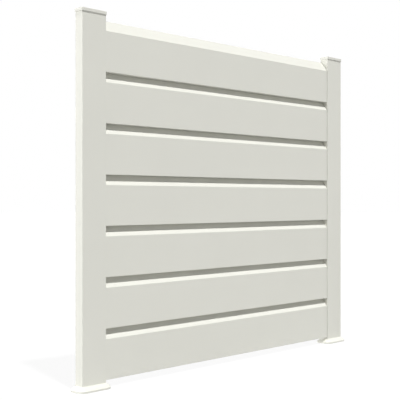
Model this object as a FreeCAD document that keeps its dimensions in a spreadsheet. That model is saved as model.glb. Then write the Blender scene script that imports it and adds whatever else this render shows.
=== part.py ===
import FreeCAD, Part
import os

import Sketcher

# A bay of louvred PVC fence: two sleeve posts on steel cores and seven hollow slats between them.
# Millimetres. X runs along the bay, -Y is the front, +Z is up.
# The origin lies on the ground in the middle of the bay.

SIZES = {
    # The bay as a whole
    "bay_width": 1800,  # over the outer faces of the posts
    "bay_height": 1581,  # from the ground to the top of the caps
    "ground_gap": 33,  # from the ground to the lowest slat
    "post_crown": 77,  # from the top slat's front edge to the post's top end
    "cut_overrun": 2,  # how far a cut runs past the wall it opens
    # Louvre slats
    "slat_count": 7,
    "slat_gap": 44,  # height of the shadow gap between two fronts
    "slat_overlap": 8,  # how far a sloped top reaches up behind the next front
    "slat_seam": 1,  # from a sloped top up to the heel of the slat above
    "slat_wall": 2.5,
    "slat_web": 2,
    "slat_peak": 40,  # from the front's top edge down to the highest web
    "slat_edge_radius": 1.2,
    "slat_play": 1.5,  # between a slat and the post walls around it
    "slat_end_play": 4,  # room for a slat to grow in the heat
    # Slat stiffeners
    "stiffener_height": 45,
    "stiffener_wall": 1.5,
    "stiffener_play": 0.3,
    "stiffener_inset": 30,  # from a slat's end to the stiffener's
    # Slat plugs
    "plug_plate": 3,
    "plug_tongue": 15,
    "plug_play": 0.3,
    # Posts
    "post_width": 125,
    "post_depth": 48,
    "post_wall": 2.5,
    "post_web": 2.5,
    "slat_chamber": 34.5,  # room for the slat ends, along X
    "post_corner_radius": 3,
    # Cores
    "core_wall": 2,
    "core_corner_radius": 4,
    "core_play": 1.5,
    "core_crown": 60,  # from the core's top end to the post's
    # Foot plates
    "plate_thickness": 6,
    "plate_margin": 13,  # past the post on every side
    "plate_corner_radius": 12,
    "anchor_hole": 9,
    "anchor_countersink": 17,
    "anchor_countersink_angle": 90,
    "anchor_inset": 11,  # from the plate's edges to a hole's middle
    # Skirts
    "skirt_reach": 23,  # past the post on every side
    "skirt_rim": 7.5,
    "skirt_height": 23.5,
    "skirt_lip": 2,  # width of the flat band round the post
    "skirt_wall": 2,
    "skirt_corner_radius": 35,
    "skirt_play": 0.3,
    # Caps
    "cap_rim": 13.5,
    "cap_top": 3,
    "cap_wall": 2.7,
    "cap_play": 0.3,
    "cap_edge_radius": 1.5,
    "cap_lug_wall": 2,
    "cap_lug_depth": 16,
    # Screws between sleeve and core
    "screw_count": 3,
    "screw_shank": 4.8,
    "screw_head": 10,
    "screw_head_height": 2.6,
    "screw_play": 0.2,
    "screw_point": 5,  # past the core's wall
    "screw_first": 140,  # from the ground to the lowest screw
    "screw_last": 240,  # from the post's top end to the highest screw
}

WORKED_OUT = {
    "slat_depth": "dims.post_depth - 2 * dims.post_wall - 2 * dims.slat_play",
    "slat_setback": "dims.post_wall + dims.slat_play",
    "slat_front": "slat_setback - dims.post_depth / 2",
    "post_top": "dims.bay_height - dims.cap_top",
    "slat_stack": "post_top - dims.ground_gap - dims.post_crown",
    "slat_pitch": "(slat_stack + dims.slat_gap) / dims.slat_count",
    "slat_face": "slat_pitch - dims.slat_gap",
    "slope_tan": "(dims.slat_gap + dims.slat_overlap) / slat_depth",
    "slope_stretch": "sqrt(1 + slope_tan ^ 2)",
    "slat_back": "slat_depth - dims.slat_wall",
    "heel_drop": "dims.slat_wall * (slope_stretch - 1)",
    "heel_chamber_front": "(dims.slat_gap - dims.slat_seam - heel_drop) / slope_tan",
    "slat_reach": "dims.post_wall + dims.slat_chamber - dims.slat_end_play - dims.plug_plate",
    "slat_length": "dims.bay_width - 2 * dims.post_width + 2 * slat_reach",
    "stiffener_chamber_back": "heel_chamber_front - dims.slat_web",
    "stiffener_width": "stiffener_chamber_back - dims.slat_wall - 2 * dims.stiffener_play",
    "stiffener_length": "slat_length - 2 * dims.stiffener_inset",
    "stiffener_chamber_top": "dims.slat_wall + dims.stiffener_height + dims.stiffener_play",
    "peak_floor": "slat_face - dims.slat_peak",
    "middle_chamber": "(peak_floor - stiffener_chamber_top - 3 * dims.slat_web) / 2",
    "lower_middle_floor": "stiffener_chamber_top + dims.slat_web",
    "upper_middle_floor": "lower_middle_floor + middle_chamber + dims.slat_web",
    "post_height": "post_top - dims.plate_thickness",
    "post_place": "(dims.bay_width - dims.post_width) / 2",
    "chamber_depth": "dims.post_depth - 2 * dims.post_wall",
    "core_chamber": "dims.post_width - 2 * dims.post_wall - dims.post_web - dims.slat_chamber",
    "core_width": "core_chamber - 2 * dims.core_play",
    "core_depth": "chamber_depth - 2 * dims.core_play",
    "core_height": "post_height - dims.core_crown",
    "core_chamber_end": "dims.post_width / 2 - dims.post_wall",
    "core_offset": "core_chamber_end - core_chamber / 2",
    "plate_width": "dims.post_width + 2 * dims.plate_margin",
    "plate_depth": "dims.post_depth + 2 * dims.plate_margin",
    "anchor_x": "plate_width / 2 - dims.anchor_inset",
    "anchor_y": "plate_depth / 2 - dims.anchor_inset",
    "skirt_slope": "(dims.skirt_height - dims.skirt_rim) / (dims.skirt_reach - dims.skirt_lip)",
    "skirt_drop": "dims.skirt_wall * (sqrt(1 + skirt_slope ^ 2) - skirt_slope)",
    "skirt_hollow_rim": "dims.skirt_rim - skirt_drop",
    "skirt_hollow_reach": "dims.skirt_reach - dims.skirt_wall",
    "skirt_hollow_top": "skirt_hollow_rim + skirt_slope * (skirt_hollow_reach - dims.skirt_lip)",
    "cap_rim_reach": "dims.cap_play + dims.cap_wall",
    "cap_foot": "post_top + dims.cap_top - dims.cap_rim",
    "screw_rise": "(post_top - dims.screw_last - dims.screw_first) / (dims.screw_count - 1)",
    "screw_length": "dims.post_wall + dims.core_play + dims.core_wall + dims.screw_point",
    "screw_hole": "dims.screw_shank / 2 + dims.screw_play",
}

# The way from a post's middle to its inner face, along X
SIDES = {"left": 1, "right": -1}

# Points closer together than this count as one
SAME_POINT = 1e-6

doc = FreeCAD.newDocument("pvc_fence")


def add_sheet(name, cells):
    """A sheet with one aliased cell for each name."""
    sheet = doc.addObject("Spreadsheet::Sheet", name)
    for row, (alias, content) in enumerate(cells.items(), start=1):
        sheet.set(f"A{row}", alias)
        sheet.set(f"B{row}", content)
        sheet.setAlias(f"B{row}", alias)
    return sheet


dims = add_sheet("dims", {name: str(size) for name, size in SIZES.items()})
derived = add_sheet("derived", {name: "=" + formula for name, formula in WORKED_OUT.items()})
doc.recompute()


def number(expression):
    """What an expression over the two sheets comes to."""
    return float(dims.evalExpression(expression))


def add_body(label):
    body = doc.addObject("PartDesign::Body", label)
    body.Label = label
    return body


def place(part, **offsets):
    """Bind a part's Placement, axis by axis."""
    for axis, expression in offsets.items():
        part.setExpression(f"Placement.Base.{axis}", expression)


def add_sketch(body, role, **offsets):
    """A sketch on one of the body's own origin planes, moved by offsets in the sketch's axes."""
    sketch = body.newObject("Sketcher::SketchObject", f"{body.Name}_sketch")
    plane = next(feature for feature in body.Origin.OriginFeatures if feature.Role == role)
    sketch.AttachmentSupport = [(plane, "")]
    sketch.MapMode = "FlatFace"
    for axis, expression in offsets.items():
        sketch.setExpression(f"AttachmentOffset.Base.{axis}", expression)
    return sketch


def bind(sketch, constraint, expression):
    """Add a dimension to a sketch and tie it to an expression."""
    index = sketch.addConstraint(constraint)
    sketch.setExpression(f"Constraints[{index}]", expression)


def pin(sketch, line, kind, expression):
    """Hold a line's first point at a distance from the sketch's origin."""
    axis = {"DistanceX": -2, "DistanceY": -1}[kind]
    if expression == "0":
        sketch.addConstraint(Sketcher.Constraint("PointOnObject", line, 1, axis))
    else:
        bind(sketch, Sketcher.Constraint(kind, -1, 1, line, 1, number(expression)), expression)


def draw_outline(sketch, corners):
    """A closed run of straight lines; each corner is a pair of expressions."""
    points = [FreeCAD.Vector(number(x), number(y), 0) for x, y in corners]
    first = sketch.GeometryCount
    ends = points[1:] + points[:1]
    lines = [sketch.addGeometry(Part.LineSegment(*pair), False) for pair in zip(points, ends)]
    for line, (x, y) in zip(lines, corners):
        before = line - 1 if line > first else lines[-1]
        sketch.addConstraint(Sketcher.Constraint("Coincident", before, 2, line, 1))
        pin(sketch, line, "DistanceX", x)
        pin(sketch, line, "DistanceY", y)


def draw_rectangle(sketch, left, right, low, high):
    draw_outline(sketch, [(left, low), (right, low), (right, high), (left, high)])


def draw_rounded(sketch, width, depth, radius):
    """A rectangle with round corners, about the sketch's origin."""
    half_width, half_depth, corner = number(width) / 2, number(depth) / 2, number(radius)
    quarter = FreeCAD.Units.Quantity("90 deg").getValueAs("rad").Value
    flat_x, flat_y = half_width - corner, half_depth - corner
    sides = [
        ((-flat_x, -half_depth), (flat_x, -half_depth)),
        ((half_width, -flat_y), (half_width, flat_y)),
        ((flat_x, half_depth), (-flat_x, half_depth)),
        ((-half_width, flat_y), (-half_width, -flat_y)),
    ]
    middles = [(flat_x, -flat_y), (flat_x, flat_y), (-flat_x, flat_y), (-flat_x, -flat_y)]
    lines = []
    arcs = []
    for turn, (side, middle) in enumerate(zip(sides, middles)):
        start, end = (FreeCAD.Vector(*point, 0) for point in side)
        lines.append(sketch.addGeometry(Part.LineSegment(start, end), False))
        circle = Part.Circle(FreeCAD.Vector(*middle, 0), FreeCAD.Vector(0, 0, 1), corner)
        arc = Part.ArcOfCircle(circle, (turn - 1) * quarter, turn * quarter)
        arcs.append(sketch.addGeometry(arc, False))
    for line, arc, following in zip(lines, arcs, lines[1:] + lines[:1]):
        sketch.addConstraint(Sketcher.Constraint("Tangent", line, 2, arc, 1))
        sketch.addConstraint(Sketcher.Constraint("Tangent", arc, 2, following, 1))
    for arc in arcs[1:]:
        sketch.addConstraint(Sketcher.Constraint("Equal", arcs[0], arc))
    bottom, right, top, left = lines
    sketch.addConstraint(Sketcher.Constraint("Horizontal", bottom))
    sketch.addConstraint(Sketcher.Constraint("Vertical", right))
    sketch.addConstraint(Sketcher.Constraint("Horizontal", top))
    sketch.addConstraint(Sketcher.Constraint("Vertical", left))
    sketch.addConstraint(Sketcher.Constraint("Symmetric", bottom, 1, top, 1, -1, 1))
    bind(sketch, Sketcher.Constraint("DistanceX", left, 1, right, 1, 2 * half_width), width)
    bind(sketch, Sketcher.Constraint("DistanceY", bottom, 1, top, 1, 2 * half_depth), depth)
    bind(sketch, Sketcher.Constraint("Radius", arcs[0], corner), radius)


def draw_circle(sketch, x, y, radius):
    middle = FreeCAD.Vector(number(x), number(y), 0)
    circle = Part.Circle(middle, FreeCAD.Vector(0, 0, 1), number(radius))
    index = sketch.addGeometry(circle, False)
    for kind, axis, expression in (("DistanceX", -2, x), ("DistanceY", -1, y)):
        if expression == "0":
            sketch.addConstraint(Sketcher.Constraint("PointOnObject", index, 3, axis))
        else:
            bind(sketch, Sketcher.Constraint(kind, -1, 1, index, 3, number(expression)), expression)
    bind(sketch, Sketcher.Constraint("Radius", index, number(radius)), radius)


def pad(body, sketch, length, side="One side", reverse=False):
    feature = body.newObject("PartDesign::Pad", f"{body.Name}_pad")
    feature.Profile = sketch
    feature.SideType = side
    feature.Reversed = reverse
    feature.setExpression("Length", length)
    doc.recompute()
    return feature


def pocket(body, sketch, length, reverse=False):
    """A cut that is checked to have taken material away."""
    before = body.Shape.Volume
    feature = body.newObject("PartDesign::Pocket", f"{body.Name}_pocket")
    feature.Profile = sketch
    feature.Reversed = reverse
    feature.setExpression("Length", length)
    doc.recompute()
    if body.Shape.Volume >= before:
        raise RuntimeError(f"{feature.Label} cuts nothing")
    return feature


def repeat_upwards(body, feature, step, count):
    pattern = body.newObject("PartDesign::LinearPattern", f"{body.Name}_pattern")
    upright = next(axis for axis in body.Origin.OriginFeatures if axis.Role == "Z_Axis")
    pattern.Originals = [feature]
    pattern.Direction = (upright, [""])
    pattern.Mode = "Spacing"
    pattern.setExpression("Offset", step)
    pattern.setExpression("Occurrences", count)
    body.Tip = pattern
    doc.recompute()


def loft(body, kind, lower, upper):
    feature = body.newObject(f"PartDesign::{kind}", f"{body.Name}_loft")
    feature.Profile = lower
    feature.Sections = [upper]
    feature.Ruled = True
    doc.recompute()


def round_edges(body, radius, chosen):
    """Fillet the edges of a body's solid that a test picks out."""
    base = body.Tip
    edges = base.Shape.Edges
    names = [f"Edge{index}" for index, edge in enumerate(edges, start=1) if chosen(edge)]
    fillet = body.newObject("PartDesign::Fillet", f"{body.Name}_fillet")
    fillet.Base = (base, names)
    fillet.setExpression("Radius", radius)
    doc.recompute()


def add_group(label, bodies):
    """Like pieces that share one node."""
    group = doc.addObject("Part::Compound", label)
    group.Label = label
    group.Links = bodies
    return group


def top_at(depth, margin):
    """Height of a slat's sloped top, moved outwards by a margin; the front stands at depth 0."""
    return f"derived.slat_face + derived.slope_tan * ({depth}) + derived.slope_stretch * ({margin})"


def heel_at(depth, margin):
    """Height of a slat's heel, which lies along the top of the slat below, moved outwards by a margin."""
    return f"{top_at(depth, f'-({margin})')} - derived.slat_pitch + dims.slat_seam"


def slat_section(margin, floor):
    """Corners of a slat's section, grown outwards by a margin; floor is its lower edge.

    The top slopes up to the back, and the heel is cut away to the same slope.
    """
    front = "0" if margin == "0" else f"-({margin})"
    back = f"derived.slat_depth + ({margin})"
    heel_end = f"({floor} - ({heel_at('0', margin)})) / derived.slope_tan"
    return [
        (front, floor),
        (front, top_at(front, margin)),
        (back, top_at(back, margin)),
        (back, heel_at(back, margin)),
        (heel_end, floor),
    ]


def build_slat(label, height):
    """A hollow extrusion: a box for the stiffener, a heel behind it, two chambers and the sloped peak."""
    slat = add_body(label)
    section = slat_section("0", "0")
    corners = [(number(depth), number(rise)) for depth, rise in section]
    outline = add_sketch(slat, "YZ_Plane")
    draw_outline(outline, section)
    pad(slat, outline, "derived.slat_length", "Symmetric")
    round_edges(slat, "dims.slat_edge_radius", lambda edge: runs_along_a_corner(edge, corners))
    wall, back = "dims.slat_wall", "derived.slat_back"
    chambers = add_sketch(slat, "YZ_Plane", z="-derived.slat_length / 2 - dims.cut_overrun")
    low_top = "derived.stiffener_chamber_top"
    draw_rectangle(chambers, wall, "derived.stiffener_chamber_back", wall, low_top)
    heel_front = "derived.heel_chamber_front"
    heel = [(heel_front, wall), (back, heel_at(back, f"-{wall}")), (back, low_top), (heel_front, low_top)]
    draw_outline(chambers, heel)
    for floor in ("derived.lower_middle_floor", "derived.upper_middle_floor"):
        draw_rectangle(chambers, wall, back, floor, f"{floor} + derived.middle_chamber")
    floor = "derived.peak_floor"
    peak = [(wall, floor), (back, floor), (back, top_at(back, f"-{wall}")), (wall, top_at(wall, f"-{wall}"))]
    draw_outline(chambers, peak)
    pocket(slat, chambers, "derived.slat_length + 2 * dims.cut_overrun", reverse=True)
    place(slat, y="derived.slat_front", z=height)
    return slat


def runs_along_a_corner(edge, corners):
    """Whether an edge lies along X on one of a section's corners."""
    if edge.BoundBox.XLength < edge.Length - SAME_POINT:
        return False
    middle = edge.CenterOfMass
    return any(
        abs(middle.y - depth) < SAME_POINT and abs(middle.z - rise) < SAME_POINT for depth, rise in corners
    )


def build_stiffener(label, height):
    """A square-edged tube lying on the floor of a slat's lowest chamber."""
    tube = add_body(label)
    section = add_sketch(tube, "YZ_Plane")
    left = "dims.slat_wall + dims.stiffener_play"
    right = f"{left} + derived.stiffener_width"
    low = "dims.slat_wall"
    high = f"{low} + dims.stiffener_height"
    draw_rectangle(section, left, right, low, high)
    wall = "dims.stiffener_wall"
    draw_rectangle(section, f"{left} + {wall}", f"{right} - {wall}", f"{low} + {wall}", f"{high} - {wall}")
    pad(tube, section, "derived.stiffener_length", "Symmetric")
    place(tube, y="derived.slat_front", z=height)
    return tube


def build_plug(label, way, height):
    """A moulded end: a plate over the slat's end with a tongue in one of its chambers."""
    plug = add_body(label)
    outward = way < 0
    plate = add_sketch(plug, "YZ_Plane")
    draw_outline(plate, slat_section("-dims.plug_play", "dims.plug_play"))
    pad(plug, plate, "dims.plug_plate", reverse=not outward)
    tongue = add_sketch(plug, "YZ_Plane")
    inset = "dims.slat_wall + dims.plug_play"
    low = "derived.lower_middle_floor + dims.plug_play"
    high = "derived.lower_middle_floor + derived.middle_chamber - dims.plug_play"
    draw_rectangle(tongue, inset, f"derived.slat_depth - ({inset})", low, high)
    pad(plug, tongue, "dims.plug_tongue", reverse=outward)
    place(plug, x=f"{-way} * derived.slat_length / 2", y="derived.slat_front", z=height)
    return plug


def build_post(side, way):
    """A sleeve of two chambers, the inner one routed open for each slat's end."""
    post = add_body(f"{side}_post")
    section = add_sketch(post, "XY_Plane", z="dims.plate_thickness")
    draw_rounded(section, "dims.post_width", "dims.post_depth", "dims.post_corner_radius")
    end = "derived.core_chamber_end"
    low, high = "-derived.chamber_depth / 2", "derived.chamber_depth / 2"
    core_room = [f"-{way} * {end}", f"-{way} * ({end} - derived.core_chamber)"]
    slat_room = [f"{way} * ({end} - dims.slat_chamber)", f"{way} * {end}"]
    for room in (core_room, slat_room):
        draw_rectangle(section, *room, low, high)
    pad(post, section, "derived.post_height")
    mortise = add_sketch(
        post,
        "YZ_Plane",
        x="derived.slat_front",
        y="dims.ground_gap",
        z=f"{way} * ({end} - dims.cut_overrun)",
    )
    draw_outline(mortise, slat_section("dims.slat_play", "0"))
    cut = pocket(post, mortise, "dims.post_wall + 2 * dims.cut_overrun", reverse=way > 0)
    repeat_upwards(post, cut, "derived.slat_pitch", "dims.slat_count")
    drill_for_screws(post, way, "derived.chamber_depth / 2 - dims.cut_overrun", "dims.post_wall")
    place(post, x=f"{-way} * derived.post_place")
    return post


def drill_for_screws(body, way, start, wall):
    """Screw holes through a back wall, one above the other over the core's middle."""
    hole = add_sketch(body, "XZ_Plane", z=f"-({start})")
    draw_circle(hole, f"{-way} * derived.core_offset", "dims.screw_first", "derived.screw_hole")
    cut = pocket(body, hole, f"{wall} + 2 * dims.cut_overrun")
    repeat_upwards(body, cut, "derived.screw_rise", "dims.screw_count")


def build_core(side, way):
    """The steel tube that stands on the foot plate inside the sleeve."""
    core = add_body(f"{side}_core")
    offsets = {"x": f"{-way} * derived.core_offset", "z": "dims.plate_thickness"}
    outer = add_sketch(core, "XY_Plane", **offsets)
    draw_rounded(outer, "derived.core_width", "derived.core_depth", "dims.core_corner_radius")
    wall = "dims.core_wall"
    draw_rounded(
        outer,
        f"derived.core_width - 2 * {wall}",
        f"derived.core_depth - 2 * {wall}",
        f"dims.core_corner_radius - {wall}",
    )
    pad(core, outer, "derived.core_height")
    drill_for_screws(core, way, f"derived.core_depth / 2 - {wall} - dims.cut_overrun", wall)
    place(core, x=f"{-way} * derived.post_place")
    return core


def build_foot_plate(side, way):
    """The plate that carries the core, with countersunk holes for anchors at its corners."""
    plate = add_body(f"{side}_foot_plate")
    outline = add_sketch(plate, "XY_Plane")
    draw_rounded(outline, "derived.plate_width", "derived.plate_depth", "dims.plate_corner_radius")
    pad(plate, outline, "dims.plate_thickness")
    holes = add_sketch(plate, "XY_Plane", z="dims.plate_thickness")
    for x in ("derived.anchor_x", "-derived.anchor_x"):
        for y in ("derived.anchor_y", "-derived.anchor_y"):
            draw_circle(holes, x, y, "dims.anchor_hole / 2")
    doc.recompute()
    drilled = plate.newObject("PartDesign::Hole", f"{plate.Name}_holes")
    drilled.Profile = holes
    drilled.DepthType = "ThroughAll"
    drilled.HoleCutType = "Countersink"
    drilled.HoleCutCustomValues = True
    drilled.setExpression("Diameter", "dims.anchor_hole")
    drilled.setExpression("HoleCutDiameter", "dims.anchor_countersink")
    drilled.setExpression("HoleCutCountersinkAngle", "dims.anchor_countersink_angle")
    doc.recompute()
    place(plate, x=f"{-way} * derived.post_place")
    return plate


def draw_collar(sketch, reach, radius):
    """The post's outline grown by a reach on every side."""
    draw_rounded(sketch, f"dims.post_width + 2 * ({reach})", f"dims.post_depth + 2 * ({reach})", radius)


def build_skirt(side, way):
    """A thin collar: an upright rim, a bevel that climbs to the post, and a hollow of the same form."""
    skirt = add_body(f"{side}_skirt")
    lip_radius = "dims.post_corner_radius + dims.skirt_lip"
    rim = add_sketch(skirt, "XY_Plane")
    draw_collar(rim, "dims.skirt_reach", "dims.skirt_corner_radius")
    pad(skirt, rim, "dims.skirt_rim")
    bevel_foot = add_sketch(skirt, "XY_Plane", z="dims.skirt_rim")
    draw_collar(bevel_foot, "dims.skirt_reach", "dims.skirt_corner_radius")
    bevel_head = add_sketch(skirt, "XY_Plane", z="dims.skirt_height")
    draw_collar(bevel_head, "dims.skirt_lip", lip_radius)
    loft(skirt, "AdditiveLoft", bevel_foot, bevel_head)
    hollow_radius = "dims.skirt_corner_radius - dims.skirt_wall"
    hollow = add_sketch(skirt, "XY_Plane")
    draw_collar(hollow, "derived.skirt_hollow_reach", hollow_radius)
    pocket(skirt, hollow, "derived.skirt_hollow_rim", reverse=True)
    hollow_foot = add_sketch(skirt, "XY_Plane", z="derived.skirt_hollow_rim")
    draw_collar(hollow_foot, "derived.skirt_hollow_reach", hollow_radius)
    hollow_head = add_sketch(skirt, "XY_Plane", z="derived.skirt_hollow_top")
    draw_collar(hollow_head, "dims.skirt_lip", lip_radius)
    loft(skirt, "SubtractiveLoft", hollow_foot, hollow_head)
    way_through = add_sketch(skirt, "XY_Plane")
    draw_collar(way_through, "dims.skirt_play", "dims.post_corner_radius + dims.skirt_play")
    pocket(skirt, way_through, "dims.skirt_height + dims.cut_overrun", reverse=True)
    place(skirt, x=f"{-way} * derived.post_place")
    return skirt


def build_cap(side, way):
    """A lid whose rim goes round the post's end, with a lug that drops into the core's chamber."""
    cap = add_body(f"{side}_cap")
    block = add_sketch(cap, "XY_Plane", z="derived.cap_foot")
    draw_collar(block, "derived.cap_rim_reach", "dims.post_corner_radius + derived.cap_rim_reach")
    pad(cap, block, "dims.cap_rim")
    roof = number("derived.cap_foot + dims.cap_rim")
    round_edges(cap, "dims.cap_edge_radius", lambda edge: edge.BoundBox.ZMin > roof - SAME_POINT)
    socket = add_sketch(cap, "XY_Plane", z="derived.cap_foot")
    draw_collar(socket, "dims.cap_play", "dims.post_corner_radius + dims.cap_play")
    pocket(cap, socket, "dims.cap_rim - dims.cap_top", reverse=True)
    lug = add_sketch(cap, "XY_Plane", x=f"{-way} * derived.core_offset", z="derived.post_top")
    half_width = "(derived.core_chamber / 2 - dims.cap_play)"
    half_depth = "(derived.chamber_depth / 2 - dims.cap_play)"
    wall = "dims.cap_lug_wall"
    draw_rectangle(lug, f"-{half_width}", half_width, f"-{half_depth}", half_depth)
    draw_rectangle(
        lug,
        f"{wall} - {half_width}",
        f"{half_width} - {wall}",
        f"{wall} - {half_depth}",
        f"{half_depth} - {wall}",
    )
    pad(cap, lug, "dims.cap_lug_depth", reverse=True)
    place(cap, x=f"{-way} * derived.post_place")
    return cap


def build_screw(label, way, step):
    """A pan head on a plain shank that ends in a point; its axis runs into the post from the back."""
    screw = add_body(label)
    profile = add_sketch(screw, "YZ_Plane")
    neck = "dims.screw_shank / 2"
    length = "derived.screw_length"
    draw_outline(
        profile,
        [
            ("0", "0"),
            (f"-{length}", "0"),
            (f"{neck} - {length}", neck),
            ("0", neck),
            ("0", "dims.screw_head / 2"),
            ("dims.screw_head_height / 2", "dims.screw_head / 2"),
            ("dims.screw_head_height", neck),
            ("dims.screw_head_height", "0"),
        ],
    )
    turned = screw.newObject("PartDesign::Revolution", f"{screw.Name}_revolution")
    turned.Profile = profile
    turned.ReferenceAxis = (profile, ["H_Axis"])
    doc.recompute()
    place(
        screw,
        x=f"{-way} * (derived.post_place + derived.core_offset)",
        y="dims.post_depth / 2",
        z=f"dims.screw_first + {step} * derived.screw_rise",
    )
    return screw


def build_everything():
    pieces = []
    slats = range(int(number("dims.slat_count")))
    screws = range(int(number("dims.screw_count")))
    heights = [f"dims.ground_gap + {step} * derived.slat_pitch" for step in slats]
    for step, height in enumerate(heights, start=1):
        pieces.append(build_slat(f"slat_{step}", height))
        pieces.append(build_stiffener(f"slat_stiffener_{step}", height))
    for side, way in SIDES.items():
        pieces.append(build_post(side, way))
        pieces.append(build_core(side, way))
        pieces.append(build_foot_plate(side, way))
        pieces.append(build_skirt(side, way))
        pieces.append(build_cap(side, way))
        plugs = [
            build_plug(f"{side}_plug_{step}", way, height) for step, height in enumerate(heights, start=1)
        ]
        pieces.append(add_group(f"{side}_slat_plugs", plugs))
        fixings = [build_screw(f"{side}_screw_{step}", way, step) for step in screws]
        pieces.append(add_group(f"{side}_core_screws", fixings))
    return pieces


def check_document(pieces):
    """Stop if any object failed or any piece has no sound solid."""
    failed = [item.Label for item in doc.Objects if {"Invalid", "Error"} & set(item.State)]
    if failed:
        raise RuntimeError(f"failed to build: {', '.join(failed)}")
    for piece in pieces:
        if piece.Shape.isNull() or not piece.Shape.isValid() or not piece.Shape.Solids:
            raise RuntimeError(f"{piece.Label} has no sound solid")


def write_parts(pieces):
    os.makedirs("parts", exist_ok=True)
    for piece in pieces:
        piece.Shape.exportStep(f"parts/{piece.Label}.step")


fence = build_everything()
doc.recompute()
check_document(fence)
write_parts(fence)
print(f"{len(fence)} pieces, {sum(len(piece.Shape.Solids) for piece in fence)} solids")
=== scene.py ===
from math import pi, radians

import bpy
from bpy.props import FloatProperty, FloatVectorProperty, IntProperty, PointerProperty
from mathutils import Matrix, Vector


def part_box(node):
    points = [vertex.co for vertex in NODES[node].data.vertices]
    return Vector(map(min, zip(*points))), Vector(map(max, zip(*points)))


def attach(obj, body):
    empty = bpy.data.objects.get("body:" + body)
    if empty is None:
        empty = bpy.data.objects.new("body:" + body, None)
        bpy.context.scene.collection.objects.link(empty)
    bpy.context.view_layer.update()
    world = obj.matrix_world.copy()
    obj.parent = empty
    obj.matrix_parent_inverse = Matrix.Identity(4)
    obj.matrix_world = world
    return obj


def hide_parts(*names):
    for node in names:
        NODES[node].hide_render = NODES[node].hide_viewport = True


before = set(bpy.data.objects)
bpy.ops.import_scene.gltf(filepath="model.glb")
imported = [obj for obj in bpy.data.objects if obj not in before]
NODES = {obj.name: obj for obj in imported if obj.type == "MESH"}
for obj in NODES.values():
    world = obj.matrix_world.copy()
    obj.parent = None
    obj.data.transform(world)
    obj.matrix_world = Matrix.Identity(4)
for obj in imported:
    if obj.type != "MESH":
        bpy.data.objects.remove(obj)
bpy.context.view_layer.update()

bl_info = {
    "name": "Louvred PVC fence bay",
    "version": (1, 0, 0),
    "blender": (4, 5, 0),
    "location": "View3D > Sidebar > Fence",
    "description": "Finishes a louvred PVC fence bay and sets it on a plain stage",
    "category": "Object",
}

STIFFENERS = [name for name in sorted(NODES) if name.startswith("slat_stiffener_")]
SLATS = [name for name in sorted(NODES) if name.startswith("slat_") and name not in STIFFENERS]
POSTS = ["left_post", "right_post"]
MOULDINGS = [
    "left_cap",
    "right_cap",
    "left_skirt",
    "right_skirt",
    "left_slat_plugs",
    "right_slat_plugs",
]
STEELWORK = ["left_core", "right_core", "left_foot_plate", "right_foot_plate"]
SCREW_ROWS = {"left_sleeve_screws": "left_core_screws", "right_sleeve_screws": "right_core_screws"}

# The screws of one post stand in the box of their node, heads against the post's back
SCREW_LOW, SCREW_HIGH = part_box("left_core_screws")
POST_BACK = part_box("left_post")[1].y

# Sizes and depths below are in metres
# Noise: how rough its finer layers are, and the part of its range that is stretched out
NOISE_ROUGHNESS = 0.55
NOISE_RANGE = (0.3, 0.7)

# PVC: width of its cloudy patches, width of its dull and bright patches, and how it bends light
PVC_CLOUD_SIZE = 0.35
PVC_SHEEN_SIZE = 0.06
PVC_IOR = 1.53

# Metals: how much darker the dark parts are, lowest and highest roughness, marks and relief
ZINC_SHADE = 0.3
ZINC_ROUGHNESS = (0.35, 0.55)
ZINC_RIPPLE_SIZE = 0.004
ZINC_RIPPLE_DEPTH = 0.00004
ALUMINIUM_SHADE = 0.15
ALUMINIUM_ROUGHNESS = (0.3, 0.45)
ALUMINIUM_STREAK_SPANS = (0.8, 0.0015, 0.0015)
ALUMINIUM_STREAK_DETAIL = 4.0
ALUMINIUM_STREAK_DEPTH = 0.00003
SCREW_SHADE = 0.25
SCREW_ROUGHNESS = (0.22, 0.42)
SCREW_SMEAR_SIZE = 0.0025
SCREW_SMEAR_DETAIL = 3.0

# Screws: points round a head's dome and down it, how square the dome is, sides of a shank,
# how near points are welded, and the angle from which an edge stays sharp
DOME_TURNS = 32
DOME_RINGS = 9
DOME_POWER = 0.62
SHANK_SIDES = 24
WELD_DISTANCE = 0.00002
SHARP_ANGLE = radians(35)

# Stage: how far off the lamps are shown, and plain white
LAMP_DISTANCE = 6.0
WHITE = (1.0, 1.0, 1.0, 1.0)


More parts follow.
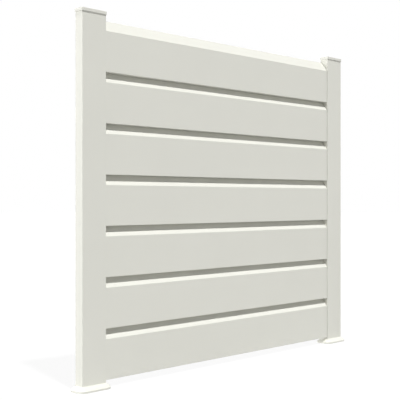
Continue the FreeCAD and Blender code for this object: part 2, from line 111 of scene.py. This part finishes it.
class FenceFinishes(bpy.types.PropertyGroup):
    """Colours and textures of the fence's materials."""

    pvc_color: FloatVectorProperty(
        name="PVC colour",
        description="Off-white of the slats, posts, caps and skirts",
        subtype="COLOR",
        min=0.0,
        max=1.0,
        default=(0.72, 0.718, 0.656),
    )
    pvc_shade: FloatProperty(
        name="PVC shade",
        description="How much darker the PVC's darkest patches are",
        subtype="FACTOR",
        min=0.0,
        max=1.0,
        default=0.02,
    )
    pvc_roughness: FloatVectorProperty(
        name="PVC roughness",
        description="Lowest and highest roughness over the PVC",
        size=2,
        min=0.0,
        max=1.0,
        default=(0.6, 0.68),
    )
    draw_line_depth: FloatProperty(
        name="Draw line depth",
        description="Depth of the fine lines that the die leaves along an extrusion",
        unit="LENGTH",
        precision=6,
        default=0.00003,
    )
    draw_line_pitch: FloatProperty(
        name="Draw line pitch",
        description="Distance from one draw line to the next",
        unit="LENGTH",
        precision=4,
        default=0.005,
    )
    draw_line_length: FloatProperty(
        name="Draw line length",
        description="How far one draw line runs along an extrusion",
        unit="LENGTH",
        default=1.5,
    )
    grain_depth: FloatProperty(
        name="Grain depth",
        description="Depth of the fine grain on moulded pieces",
        unit="LENGTH",
        precision=6,
        default=0.00002,
    )
    grain_size: FloatProperty(
        name="Grain size",
        description="Width of one grain on moulded pieces",
        unit="LENGTH",
        precision=4,
        default=0.0009,
    )
    zinc_color: FloatVectorProperty(
        name="Zinc colour",
        description="Dull grey of the galvanised cores and plates",
        subtype="COLOR",
        min=0.0,
        max=1.0,
        default=(0.56, 0.57, 0.58),
    )
    zinc_crystal: FloatProperty(
        name="Zinc crystal",
        description="Width of one crystal on the galvanised steel",
        unit="LENGTH",
        precision=4,
        default=0.011,
    )
    aluminium_color: FloatVectorProperty(
        name="Aluminium colour",
        description="Bare metal of the slat stiffeners",
        subtype="COLOR",
        min=0.0,
        max=1.0,
        default=(0.75, 0.75, 0.76),
    )
    screw_color: FloatVectorProperty(
        name="Screw colour",
        description="Bare metal of the screws",
        subtype="COLOR",
        min=0.0,
        max=1.0,
        default=(0.6, 0.59, 0.57),
    )


class FenceScrews(bpy.types.PropertyGroup):
    """Sizes of the screws that hold a sleeve to its core."""

    count: IntProperty(
        name="Screws",
        description="Screws up the back of each post",
        min=2,
        default=3,
    )
    head_width: FloatProperty(
        name="Head width",
        description="Width over a screw's head",
        unit="LENGTH",
        precision=4,
        default=SCREW_HIGH.x - SCREW_LOW.x,
    )
    head_height: FloatProperty(
        name="Head height",
        description="How far a head stands out of the post",
        unit="LENGTH",
        precision=4,
        default=SCREW_HIGH.y - POST_BACK,
    )
    shank_width: FloatProperty(
        name="Shank width",
        description="Width of the shank",
        unit="LENGTH",
        precision=4,
        default=0.0048,
    )
    shank_length: FloatProperty(
        name="Shank length",
        description="From the underside of the head to the point",
        unit="LENGTH",
        precision=4,
        default=POST_BACK - SCREW_LOW.y,
    )
    recess_width: FloatProperty(
        name="Recess width",
        description="Width over the cross in a head",
        unit="LENGTH",
        precision=4,
        default=0.0052,
    )
    recess_slot: FloatProperty(
        name="Recess slot",
        description="Width of one slot of the cross",
        unit="LENGTH",
        precision=4,
        default=0.0012,
    )
    recess_depth: FloatProperty(
        name="Recess depth",
        description="Depth of the cross",
        unit="LENGTH",
        precision=4,
        default=0.0017,
    )


class FenceStage(bpy.types.PropertyGroup):
    """Floor, light and camera."""

    camera_place: FloatVectorProperty(
        name="Camera place",
        description="Where the camera stands",
        subtype="TRANSLATION",
        unit="LENGTH",
        default=(-2.970, -2.775, 0.790),
    )
    camera_turn: FloatVectorProperty(
        name="Camera turn",
        description="Which way the camera looks",
        subtype="EULER",
        unit="ROTATION",
        default=(radians(90), 0.0, radians(-45)),
    )
    lens: FloatProperty(
        name="Lens",
        description="Focal length",
        unit="CAMERA",
        default=75.0,
    )
    key_from: FloatVectorProperty(
        name="Key direction",
        description="From the fence towards the lamp above its front",
        subtype="DIRECTION",
        default=(-0.25, -1.0, 2.2),
    )
    key_strength: FloatProperty(
        name="Key strength",
        description="Light from the lamp above the front",
        min=0.0,
        default=3.4,
    )
    key_spread: FloatProperty(
        name="Key spread",
        description="Width of the key lamp as the fence sees it",
        subtype="ANGLE",
        default=radians(4),
    )
    side_from: FloatVectorProperty(
        name="Side direction",
        description="From the fence towards the lamp on its left",
        subtype="DIRECTION",
        default=(-1.0, 0.5, 0.2),
    )
    side_strength: FloatProperty(
        name="Side strength",
        description="Light from the lamp on the left",
        min=0.0,
        default=2.6,
    )
    side_spread: FloatProperty(
        name="Side spread",
        description="Width of the side lamp as the fence sees it",
        subtype="ANGLE",
        default=radians(40),
    )
    room_strength: FloatVectorProperty(
        name="Room strength",
        description="Light from the room, level with the fence and overhead",
        size=2,
        min=0.0,
        default=(0.6, 0.0),
    )
    floor_color: FloatVectorProperty(
        name="Floor colour",
        description="Colour of the light that the floor throws back",
        subtype="COLOR",
        min=0.0,
        max=1.0,
        default=(0.44, 0.44, 0.44),
    )
    floor_glow: FloatProperty(
        name="Floor glow",
        description="Share of the floor's white that shadows leave alone",
        subtype="FACTOR",
        min=0.0,
        max=1.0,
        default=0.92,
    )
    floor_width: FloatProperty(
        name="Floor width",
        description="Length of the floor's sides",
        unit="LENGTH",
        default=80.0,
    )


def find_socket(sockets, name):
    """The socket with that identifier, or else with that name."""
    for key in ("identifier", "name"):
        for socket in sockets:
            if getattr(socket, key) == name:
                return socket
    raise KeyError(f"no socket {name}")


def add_node(tree, kind, sockets=None, **properties):
    """A node with its properties set, and its named sockets set to values or linked to outputs."""
    node = tree.nodes.new(kind)
    for name, value in properties.items():
        setattr(node, name, value)
    for name, value in (sockets or {}).items():
        socket = find_socket(node.inputs, name)
        for source in value if isinstance(value, list) else [value]:
            if isinstance(source, bpy.types.NodeSocket):
                tree.links.new(source, socket)
            else:
                socket.default_value = source
    return node


def result(node, name=None):
    """An output of a node, the first one unless it is named."""
    return find_socket(node.outputs, name) if name else node.outputs[0]


def new_material(name):
    """A material, its tree and its shader."""
    material = bpy.data.materials.new(name)
    material.use_nodes = True
    tree = material.node_tree
    return material, tree, tree.nodes["Principled BSDF"]


def noise(tree, spans, detail=2.0):
    """A noise over the piece's own coordinates whose patches are as large as spans, in metres."""
    place = result(add_node(tree, "ShaderNodeTexCoord"), "Object")
    scale = tuple(1.0 / span for span in spans)
    mapping = add_node(tree, "ShaderNodeMapping", {"Vector": place, "Scale": scale})
    texture = add_node(
        tree,
        "ShaderNodeTexNoise",
        {"Vector": result(mapping), "Scale": 1.0, "Detail": detail, "Roughness": NOISE_ROUGHNESS},
    )
    return result(texture, "Fac")


def remap(tree, value, old, new):
    """A value moved from its old range into a new one, and held to the new one's ends."""
    ends = {"From Min": old[0], "From Max": old[1], "To Min": new[0], "To Max": new[1]}
    return result(add_node(tree, "ShaderNodeMapRange", {"Value": value, **ends}))


def shades(tree, factor, color, share):
    """A colour that darkens by a share as a factor falls to zero."""
    dark = tuple(part * (1.0 - share) for part in color)
    mix = add_node(
        tree,
        "ShaderNodeMix",
        {"Factor_Float": factor, "A_Color": (*dark, 1.0), "B_Color": (*color, 1.0)},
        data_type="RGBA",
    )
    return result(mix, "Result_Color")


def coat(tree, shader, color, roughness, metallic=0.0):
    """Feed a shader its colour and roughness, and say whether it is bare metal."""
    tree.links.new(color, shader.inputs["Base Color"])
    tree.links.new(roughness, shader.inputs["Roughness"])
    shader.inputs["Metallic"].default_value = metallic


def emboss(tree, shader, height, depth):
    """Relief of a real depth on a shader."""
    bump = add_node(tree, "ShaderNodeBump", {"Height": height, "Strength": 1.0, "Distance": depth})
    tree.links.new(result(bump), shader.inputs["Normal"])


def pvc(name, finishes):
    """Satin off-white PVC with faint cloudiness, still without relief."""
    material, tree, shader = new_material(name)
    cloud = remap(tree, noise(tree, [PVC_CLOUD_SIZE] * 3), NOISE_RANGE, (0.0, 1.0))
    sheen = remap(tree, noise(tree, [PVC_SHEEN_SIZE] * 3), NOISE_RANGE, finishes.pvc_roughness)
    coat(tree, shader, shades(tree, cloud, finishes.pvc_color, finishes.pvc_shade), sheen)
    shader.inputs["IOR"].default_value = PVC_IOR
    return material, tree, shader


def extruded_pvc(name, finishes, axis):
    """PVC with the lines of its die along one axis."""
    material, tree, shader = pvc(name, finishes)
    spans = [finishes.draw_line_pitch] * 3
    spans[axis] = finishes.draw_line_length
    emboss(tree, shader, noise(tree, spans), finishes.draw_line_depth)
    return material


def moulded_pvc(name, finishes):
    """PVC with a fine even grain."""
    material, tree, shader = pvc(name, finishes)
    emboss(tree, shader, noise(tree, [finishes.grain_size] * 3), finishes.grain_depth)
    return material


def galvanised_steel(name, finishes):
    """Dull zinc with crystals of different greys."""
    material, tree, shader = new_material(name)
    place = result(add_node(tree, "ShaderNodeTexCoord"), "Object")
    crystals = add_node(
        tree,
        "ShaderNodeTexVoronoi",
        {"Vector": place, "Scale": 1.0 / finishes.zinc_crystal, "Randomness": 1.0},
    )
    grey = add_node(tree, "ShaderNodeSeparateColor", {"Color": result(crystals, "Color")})
    tone = result(grey, "Red")
    color = shades(tree, tone, finishes.zinc_color, ZINC_SHADE)
    coat(tree, shader, color, remap(tree, tone, NOISE_RANGE, ZINC_ROUGHNESS), metallic=1.0)
    emboss(tree, shader, noise(tree, [ZINC_RIPPLE_SIZE] * 3), ZINC_RIPPLE_DEPTH)
    return material


def mill_aluminium(name, finishes):
    """Bare extruded aluminium, streaked along X."""
    material, tree, shader = new_material(name)
    streaks = noise(tree, ALUMINIUM_STREAK_SPANS, ALUMINIUM_STREAK_DETAIL)
    color = shades(tree, streaks, finishes.aluminium_color, ALUMINIUM_SHADE)
    coat(tree, shader, color, remap(tree, streaks, NOISE_RANGE, ALUMINIUM_ROUGHNESS), metallic=1.0)
    emboss(tree, shader, streaks, ALUMINIUM_STREAK_DEPTH)
    return material


def stainless_steel(name, finishes):
    """Bare steel, slightly clouded by handling."""
    material, tree, shader = new_material(name)
    smears = noise(tree, [SCREW_SMEAR_SIZE] * 3, SCREW_SMEAR_DETAIL)
    color = shades(tree, smears, finishes.screw_color, SCREW_SHADE)
    coat(tree, shader, color, remap(tree, smears, NOISE_RANGE, SCREW_ROUGHNESS), metallic=1.0)
    return material


def paint(names, material):
    """Put a material on CAD nodes."""
    for name in names:
        slots = NODES[name].data.materials
        if not slots:
            slots.append(material)
        for index in range(len(slots)):
            slots[index] = material


class Tree:
    """A Geometry Nodes tree in the making, with short calls for its usual nodes."""

    def __init__(self, name, inputs):
        self.tree = bpy.data.node_groups.new(name, "GeometryNodeTree")
        self.tree.is_modifier = True
        for label, kind in inputs.items():
            self.tree.interface.new_socket(label, in_out="INPUT", socket_type=f"NodeSocket{kind}")
        self.tree.interface.new_socket("Geometry", in_out="OUTPUT", socket_type="NodeSocketGeometry")
        self.entry = self.tree.nodes.new("NodeGroupInput")

    def given(self, label):
        return find_socket(self.entry.outputs, label)

    def add(self, kind, sockets=None, output=None, **properties):
        return result(add_node(self.tree, kind, sockets, **properties), output)

    def math(self, operation, first, second=0.0):
        return self.add("ShaderNodeMath", {"Value": first, "Value_001": second}, operation=operation)

    def vector(self, x=0.0, y=0.0, z=0.0):
        return self.add("ShaderNodeCombineXYZ", {"X": x, "Y": y, "Z": z})

    def moved(self, geometry, move=(0.0, 0.0, 0.0), turn=(0.0, 0.0, 0.0)):
        sockets = {"Geometry": geometry, "Translation": move, "Rotation": turn}
        return self.add("GeometryNodeTransform", sockets)

    def joined(self, *parts):
        return self.add("GeometryNodeJoinGeometry", {"Geometry": list(parts)})

    def welded(self, geometry):
        sockets = {"Geometry": geometry, "Distance": WELD_DISTANCE}
        return self.add("GeometryNodeMergeByDistance", sockets)

    def finish(self, geometry):
        tip = self.tree.nodes.new("NodeGroupOutput")
        self.tree.links.new(geometry, tip.inputs["Geometry"])
        return self.tree


def screw_head(tree):
    """A domed head, closed underneath, with a cross cut into its top. Its axis is Z."""
    radius = tree.math("DIVIDE", tree.given("Head width"), 2.0)
    height = tree.given("Head height")
    # A net from -0.5 to 0.5 both ways is bent round the axis, and from the crown down to the rim
    net = tree.add(
        "GeometryNodeMeshGrid",
        {"Size X": 1.0, "Size Y": 1.0, "Vertices X": DOME_TURNS + 1, "Vertices Y": DOME_RINGS},
        "Mesh",
    )
    place = tree.add("GeometryNodeInputPosition")
    spot = add_node(tree.tree, "ShaderNodeSeparateXYZ", {"Vector": place})
    angle = tree.math("MULTIPLY", tree.math("ADD", result(spot, "X"), 0.5), 2.0 * pi)
    fall = tree.math("MULTIPLY", tree.math("ADD", result(spot, "Y"), 0.5), pi / 2.0)
    # A squarish quarter round: flatter on top and fuller at the shoulder than a ball
    out_share = tree.math("POWER", tree.math("SINE", fall), DOME_POWER)
    up_share = tree.math("POWER", tree.math("ABSOLUTE", tree.math("COSINE", fall)), DOME_POWER)
    out = tree.math("MULTIPLY", radius, out_share)
    dome_spot = tree.vector(
        tree.math("MULTIPLY", out, tree.math("COSINE", angle)),
        tree.math("MULTIPLY", out, tree.math("SINE", angle)),
        tree.math("MULTIPLY", height, up_share),
    )
    dome = tree.add("GeometryNodeSetPosition", {"Geometry": net, "Position": dome_spot})
    rim = {"Vertices": DOME_TURNS, "Radius": radius}
    seat = tree.add("GeometryNodeMeshCircle", rim, fill_type="NGON")
    shell = tree.add("GeometryNodeFlipFaces", {"Mesh": tree.welded(tree.joined(dome, seat))})
    # A slot's block is centred on the crown, so it is twice as deep as the slot
    depth = tree.math("MULTIPLY", tree.given("Recess depth"), 2.0)
    width, slot = tree.given("Recess width"), tree.given("Recess slot")
    lift = tree.vector(z=height)
    slots = [
        tree.moved(tree.add("GeometryNodeMeshCube", {"Size": tree.vector(x, y, depth)}, "Mesh"), lift)
        for x, y in ((width, slot), (slot, width))
    ]
    head = tree.add(
        "GeometryNodeMeshBoolean",
        {"Mesh 1": shell, "Mesh 2": slots},
        "Mesh",
        operation="DIFFERENCE",
        solver="EXACT",
    )
    return tree.welded(head)


def screw_shank(tree):
    """A plain shank that hangs below the head and ends in a point."""
    radius = tree.math("DIVIDE", tree.given("Shank width"), 2.0)
    straight = tree.math("SUBTRACT", tree.given("Shank length"), radius)
    rod = tree.add(
        "GeometryNodeMeshCylinder",
        {"Vertices": SHANK_SIDES, "Radius": radius, "Depth": straight},
        "Mesh",
    )
    rod = tree.moved(rod, tree.vector(z=tree.math("DIVIDE", straight, -2.0)))
    point = tree.add(
        "GeometryNodeMeshCone",
        {"Vertices": SHANK_SIDES, "Radius Top": 0.0, "Radius Bottom": radius, "Depth": radius},
        "Mesh",
    )
    point = tree.moved(point, turn=(pi, 0.0, 0.0))
    point = tree.moved(point, tree.vector(z=tree.math("MULTIPLY", straight, -1.0)))
    return tree.joined(rod, point)


def screw_row_tree():
    """Screws one above the other, each turned by chance about its own axis, heads towards +Y."""
    tree = Tree(
        "sleeve_screws",
        {
            "Lowest": "Vector",
            "Rise": "Float",
            "Count": "Int",
            "Head width": "Float",
            "Head height": "Float",
            "Shank width": "Float",
            "Shank length": "Float",
            "Recess width": "Float",
            "Recess slot": "Float",
            "Recess depth": "Float",
            "Seed": "Int",
            "Material": "Material",
        },
    )
    upright = tree.joined(screw_head(tree), screw_shank(tree))
    screw = tree.moved(upright, turn=(-pi / 2.0, 0.0, 0.0))
    row = tree.add(
        "GeometryNodeMeshLine",
        {
            "Count": tree.given("Count"),
            "Start Location": tree.given("Lowest"),
            "Offset": tree.vector(z=tree.given("Rise")),
        },
    )
    chance = tree.add(
        "FunctionNodeRandomValue",
        {"Min_001": 0.0, "Max_001": pi, "Seed": tree.given("Seed")},
        "Value_001",
    )
    turn = tree.add("FunctionNodeEulerToRotation", {"Euler": tree.vector(y=chance)})
    screws = tree.add(
        "GeometryNodeInstanceOnPoints",
        {"Points": row, "Instance": screw, "Rotation": turn},
    )
    real = tree.add("GeometryNodeRealizeInstances", {"Geometry": screws})
    smooth = tree.add("GeometryNodeSetShadeSmooth", {"Geometry": real, "Shade Smooth": True})
    coated = tree.add(
        "GeometryNodeSetMaterial",
        {"Geometry": smooth, "Material": tree.given("Material")},
    )
    return tree.finish(coated)


def grow(name, tree, values):
    """The plain mesh that a tree makes with these inputs, as an object."""
    piece = bpy.data.objects.new(name, bpy.data.meshes.new(name))
    bpy.context.scene.collection.objects.link(piece)
    modifier = piece.modifiers.new(tree.name, "NODES")
    modifier.node_group = tree
    for item in tree.interface.items_tree:
        if item.in_out == "INPUT":
            modifier[item.identifier] = values[item.name]
    depsgraph = bpy.context.evaluated_depsgraph_get()
    mesh = bpy.data.meshes.new_from_object(piece.evaluated_get(depsgraph))
    piece.modifiers.clear()
    mesh.name = name
    piece.data = mesh
    if not mesh.polygons:
        raise RuntimeError(f"{name} came out empty")
    return piece


class FENCE_OT_finish_slats(bpy.types.Operator):
    """Give the slats PVC with draw lines along the bay"""

    bl_idname = "fence.finish_slats"
    bl_label = "Finish slats"

    def execute(self, context):
        paint(SLATS, extruded_pvc("extruded_pvc_slats", context.scene.fence_finishes, axis=0))
        return {"FINISHED"}


class FENCE_OT_finish_posts(bpy.types.Operator):
    """Give the sleeve posts PVC with upright draw lines"""

    bl_idname = "fence.finish_posts"
    bl_label = "Finish posts"

    def execute(self, context):
        paint(POSTS, extruded_pvc("extruded_pvc_posts", context.scene.fence_finishes, axis=2))
        return {"FINISHED"}


class FENCE_OT_finish_mouldings(bpy.types.Operator):
    """Give the caps, skirts and slat plugs finely grained PVC"""

    bl_idname = "fence.finish_mouldings"
    bl_label = "Finish mouldings"

    def execute(self, context):
        paint(MOULDINGS, moulded_pvc("moulded_pvc", context.scene.fence_finishes))
        return {"FINISHED"}


class FENCE_OT_finish_metal(bpy.types.Operator):
    """Give the cores and plates zinc, and the stiffeners bare aluminium"""

    bl_idname = "fence.finish_metal"
    bl_label = "Finish metal"

    def execute(self, context):
        finishes = context.scene.fence_finishes
        paint(STEELWORK, galvanised_steel("galvanised_steel", finishes))
        paint(STIFFENERS, mill_aluminium("mill_aluminium", finishes))
        return {"FINISHED"}


class FENCE_OT_fit_screws(bpy.types.Operator):
    """Put cross-headed screws up the back of each post"""

    bl_idname = "fence.fit_screws"
    bl_label = "Fit screws"

    def execute(self, context):
        sizes = context.scene.fence_screws
        material = stainless_steel("stainless_steel", context.scene.fence_finishes)
        tree = screw_row_tree()
        for seed, (name, node) in enumerate(SCREW_ROWS.items()):
            low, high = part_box(node)
            head = sizes.head_width / 2.0
            lowest = Vector(((low.x + high.x) / 2.0, POST_BACK, low.z + head))
            values = {
                "Lowest": lowest,
                "Rise": (high.z - head - lowest.z) / (sizes.count - 1),
                "Count": sizes.count,
                "Head width": sizes.head_width,
                "Head height": sizes.head_height,
                "Shank width": sizes.shank_width,
                "Shank length": sizes.shank_length,
                "Recess width": sizes.recess_width,
                "Recess slot": sizes.recess_slot,
                "Recess depth": sizes.recess_depth,
                "Seed": seed,
                "Material": material,
            }
            screws = grow(name, tree, values)
            screws.data.set_sharp_from_angle(angle=SHARP_ANGLE)
            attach(screws, "root")
            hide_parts(node)
        return {"FINISHED"}


def add_sun(name, towards, strength, spread_angle):
    """A lamp far away in a direction."""
    sun = bpy.data.lights.new(name, "SUN")
    sun.energy = strength
    sun.angle = spread_angle
    lamp = bpy.data.objects.new(name, sun)
    lamp.rotation_euler = Vector(towards).to_track_quat("Z", "Y").to_euler()
    lamp.location = Vector(towards).normalized() * LAMP_DISTANCE
    bpy.context.scene.collection.objects.link(lamp)


def seen_directly(tree):
    """1 for rays that show a thing to the camera, in a mirror or through glass, and 0 for light."""
    path = add_node(tree, "ShaderNodeLightPath")
    shown = result(path, "Is Camera Ray")
    for kind in ("Is Glossy Ray", "Is Transmission Ray"):
        both = {"Value": shown, "Value_001": result(path, kind)}
        shown = result(add_node(tree, "ShaderNodeMath", both, operation="MAXIMUM"))
    return shown


def light_or_sight(tree, light, sight):
    """One shader for the light that a thing sends out, and another for how it looks."""
    both = {"Fac": seen_directly(tree), "Shader": result(light), "Shader_001": result(sight)}
    return result(add_node(tree, "ShaderNodeMixShader", both))


def cleared_tree(holder):
    """The node tree of a material or world, with nothing in it."""
    holder.use_nodes = True
    holder.node_tree.nodes.clear()
    return holder.node_tree


def light_room(level, overhead):
    """A white surround whose light changes from its strength at eye level to that overhead."""
    world = bpy.data.worlds.new("room")
    tree = cleared_tree(world)
    way = result(add_node(tree, "ShaderNodeTexCoord"), "Generated")
    height = result(add_node(tree, "ShaderNodeSeparateXYZ", {"Vector": way}), "Z")
    strength = remap(tree, height, (0.0, 1.0), (level, overhead))
    light = add_node(tree, "ShaderNodeBackground", {"Color": WHITE, "Strength": strength})
    sight = add_node(tree, "ShaderNodeBackground", {"Color": WHITE, "Strength": 1.0})
    add_node(tree, "ShaderNodeOutputWorld", {"Surface": light_or_sight(tree, light, sight)})
    bpy.context.scene.world = world


def floor_material(color, glow):
    """White to look at, with a faint shadow, and greyer in the light that it throws back."""
    material = bpy.data.materials.new("white_floor")
    tree = cleared_tree(material)
    bounce = add_node(tree, "ShaderNodeBsdfDiffuse", {"Color": (*color, 1.0)})
    shadow_share = (1.0 - glow,) * 3
    catcher = add_node(tree, "ShaderNodeBsdfDiffuse", {"Color": (*shadow_share, 1.0)})
    base = add_node(tree, "ShaderNodeEmission", {"Color": WHITE, "Strength": glow})
    layers = {"Shader": result(base), "Shader_001": result(catcher)}
    sight = add_node(tree, "ShaderNodeAddShader", layers)
    add_node(tree, "ShaderNodeOutputMaterial", {"Surface": light_or_sight(tree, bounce, sight)})
    return material


def lay_floor(width, material):
    """A square floor under the fence, as part of the stage."""
    half = width / 2.0
    corners = [(-half, -half, 0.0), (half, -half, 0.0), (half, half, 0.0), (-half, half, 0.0)]
    mesh = bpy.data.meshes.new("floor")
    mesh.from_pydata(corners, [], [(0, 1, 2, 3)])
    mesh.materials.append(material)
    floor = bpy.data.objects.new("floor", mesh)
    bpy.context.scene.collection.objects.link(floor)


class FENCE_OT_set_stage(bpy.types.Operator):
    """Set up the white floor, the lamps, the room's light and the camera"""

    bl_idname = "fence.set_stage"
    bl_label = "Set stage"

    def execute(self, context):
        stage = context.scene.fence_stage
        lay_floor(stage.floor_width, floor_material(stage.floor_color, stage.floor_glow))
        add_sun("key_lamp", stage.key_from, stage.key_strength, stage.key_spread)
        add_sun("side_lamp", stage.side_from, stage.side_strength, stage.side_spread)
        light_room(*stage.room_strength)
        camera = bpy.data.objects.new("camera", bpy.data.cameras.new("camera"))
        camera.location = stage.camera_place
        camera.rotation_euler = stage.camera_turn
        camera.data.lens = stage.lens
        context.scene.collection.objects.link(camera)
        context.scene.camera = camera
        context.scene.view_settings.view_transform = "Standard"
        return {"FINISHED"}


class FENCE_PT_sidebar(bpy.types.Panel):
    """The fence's steps and settings"""

    bl_label = "Fence"
    bl_idname = "FENCE_PT_sidebar"
    bl_space_type = "VIEW_3D"
    bl_region_type = "UI"
    bl_category = "Fence"

    def draw(self, context):
        for step in STEPS:
            self.layout.operator(step.bl_idname)
        for group in SETTINGS:
            box = self.layout.box()
            settings = getattr(context.scene, group)
            for name in settings.__annotations__:
                box.prop(settings, name)


SETTINGS = {"fence_finishes": FenceFinishes, "fence_screws": FenceScrews, "fence_stage": FenceStage}
STEPS = [
    FENCE_OT_finish_slats,
    FENCE_OT_finish_posts,
    FENCE_OT_finish_mouldings,
    FENCE_OT_finish_metal,
    FENCE_OT_fit_screws,
    FENCE_OT_set_stage,
]
CLASSES = [*SETTINGS.values(), *STEPS, FENCE_PT_sidebar]


def register():
    for item in CLASSES:
        bpy.utils.register_class(item)
    for group, kind in SETTINGS.items():
        setattr(bpy.types.Scene, group, PointerProperty(type=kind))


def unregister():
    for group in SETTINGS:
        delattr(bpy.types.Scene, group)
    for item in reversed(CLASSES):
        bpy.utils.unregister_class(item)


def main():
    register()
    bpy.ops.fence.finish_slats()
    bpy.ops.fence.finish_posts()
    bpy.ops.fence.finish_mouldings()
    bpy.ops.fence.finish_metal()
    bpy.ops.fence.fit_screws()
    bpy.ops.fence.set_stage()


if __name__ == "__main__":
    main()
